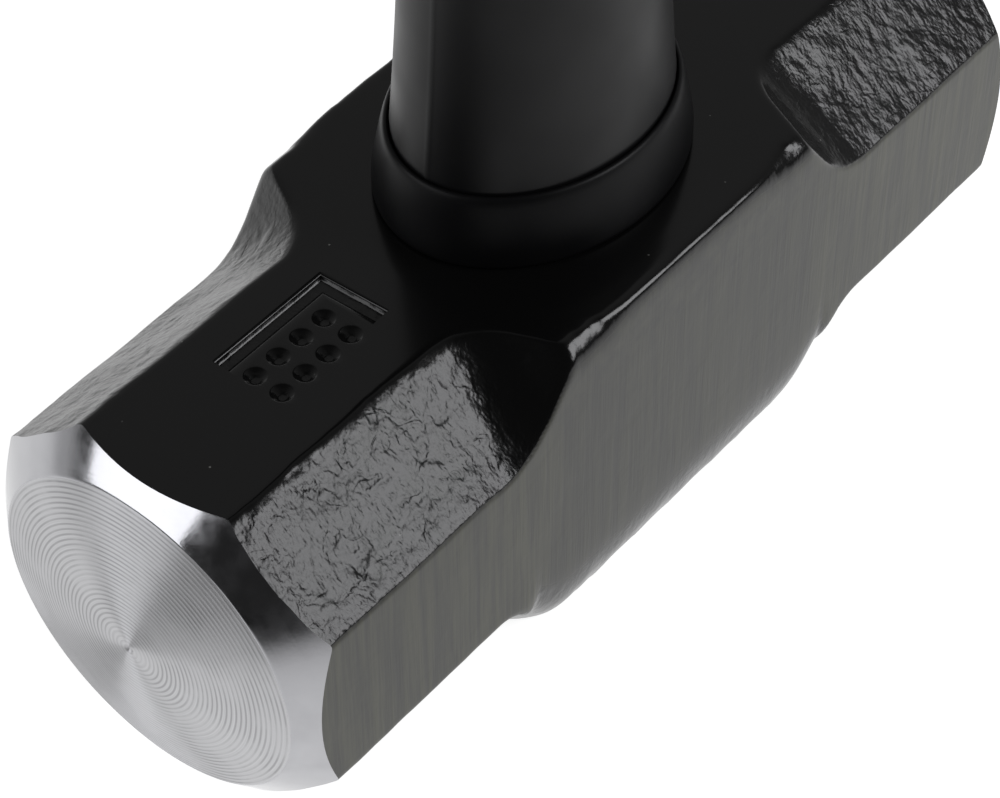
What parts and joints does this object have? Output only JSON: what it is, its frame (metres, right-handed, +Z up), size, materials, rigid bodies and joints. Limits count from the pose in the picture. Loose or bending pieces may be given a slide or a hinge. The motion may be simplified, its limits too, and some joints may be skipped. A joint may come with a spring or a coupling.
{
  "type": "sledgehammer",
  "caption": "Double-faced forged sledgehammer head with octagonal ends and crowned faces, bonded to a long oval fibreglass handle with a collar, rubber grip and butt cap.",
  "frame": {"origin": "centre of the overall box's bottom: on the far side of the head, under the middle of the eye", "axes": "+Z up the handle from the head to the butt, X from one striking face to the other, Y across the cheeks"},
  "size_m": [0.1726, 0.0584, 0.914],
  "materials": {
    "lacquered_steel": "glossy black lacquer over forged steel",
    "machined_steel": "bright turned steel with fine concentric tool marks",
    "ground_steel": "ground and lacquered dark grey",
    "resin": "poured dark epoxy",
    "fibreglass": "sawn end of a pultruded glass rod",
    "jacket_plastic": "satin black moulded polypropylene",
    "collar_plastic": "satin black moulded rubbery plastic",
    "grip_rubber": "matt black rubber with moulded grooves",
    "cap_plastic": "matt black moulded plastic"
  },
  "bodies": {
    "root": {"head": "lacquered_steel", "eye_resin": "resin", "fibreglass_core": "fibreglass", "handle_jacket": "jacket_plastic", "collar": "collar_plastic", "rubber_grip": "grip_rubber", "butt_cap": "cap_plastic"}
  },
  "joints": []
}
